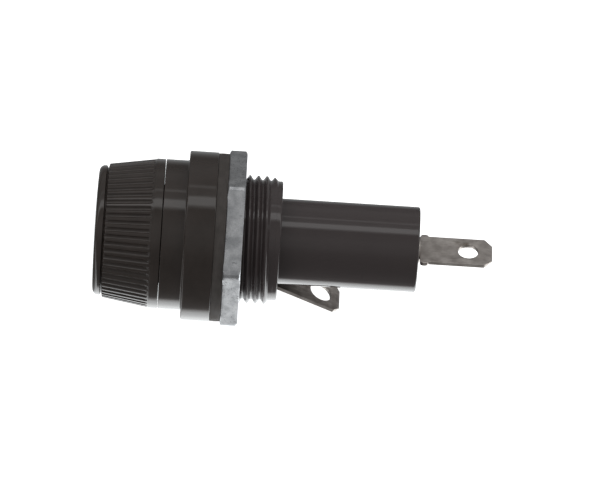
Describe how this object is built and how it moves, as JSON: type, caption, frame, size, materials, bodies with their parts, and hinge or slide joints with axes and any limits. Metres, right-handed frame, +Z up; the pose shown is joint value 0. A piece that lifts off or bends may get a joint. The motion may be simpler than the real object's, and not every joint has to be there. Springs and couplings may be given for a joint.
{
  "type": "cartridge fuse holder",
  "caption": "Panel-mount holder for a glass cartridge fuse, with a fluted bayonet knob, threaded barrel, hex nut, soft washer and two solder terminals.",
  "frame": {"origin": "centre of the flange's rear face on the axis, where the panel seats", "axes": "+X along the axis from the knob to the end terminal, +Z up, away from the side terminal"},
  "size_m": [0.0494, 0.021, 0.0212],
  "materials": {
    "body_phenolic": "glossy black moulded phenolic",
    "knob_phenolic": "glossy black moulded phenolic, fluted",
    "washer_rubber": "matte dark grey neoprene",
    "nut_zinc": "zinc-plated steel, faintly mottled",
    "terminal_tinned": "tin-plated brass strip with faint stains",
    "contact_brass": "plain spring brass",
    "spring_steel": "bright spring wire",
    "fuse_glass": "clear drawn glass tube",
    "fuse_cap": "nickel-plated brass cap",
    "fuse_wire": "tinned fuse wire",
    "solder": "dull solder"
  },
  "bodies": {
    "holder": {"body_moulding": "body_phenolic", "front_contact": "contact_brass", "side_terminal": "terminal_tinned", "side_terminal_rivet": "contact_brass", "end_terminal": "terminal_tinned", "end_eyelet": "terminal_tinned", "spring_seat": "contact_brass"},
    "washer": {"panel_washer": "washer_rubber"},
    "nut": {"panel_nut": "nut_zinc"},
    "fuse": {"fuse_glass": "fuse_glass", "fuse_cap_front": "fuse_cap", "fuse_cap_rear": "fuse_cap", "fuse_element": "fuse_wire", "fuse_solder_front": "solder", "fuse_solder_rear": "solder"},
    "knob": {"knob_shell": "knob_phenolic", "fuse_clip": "contact_brass", "clip_rivet": "contact_brass"},
    "plunger": {"plunger_cup": "contact_brass", "contact_spring": "spring_steel"}
  },
  "joints": [
    {"name": "fuse_draw", "type": "slide", "parent": "holder", "child": "fuse", "axis": [-1, 0, 0], "range_m": [0, 0.032]},
    {"name": "knob_turn", "type": "hinge", "parent": "fuse", "child": "knob", "pos_m": [0, 0, 0], "axis": [1, 0, 0], "range_deg": [0, 60]},
    {"name": "washer_slide", "type": "slide", "parent": "holder", "child": "washer", "axis": [1, 0, 0], "range_m": [0, 0.00346]},
    {"name": "nut_turn", "type": "hinge", "parent": "washer", "child": "nut", "pos_m": [0, 0, 0], "axis": [1, 0, 0], "range_deg": [0, 1180]},
    {"name": "plunger_press", "type": "slide", "parent": "holder", "child": "plunger", "axis": [1, 0, 0], "range_m": [0, 0.0008], "stiffness_N_per_m": 1200, "springref_m": -0.0015, "deforming": ["contact_spring"]}
  ],
  "couplings": [
    {"joint": "nut_turn", "follows": "washer_slide", "rad_per_m": 5936.9}
  ]
}
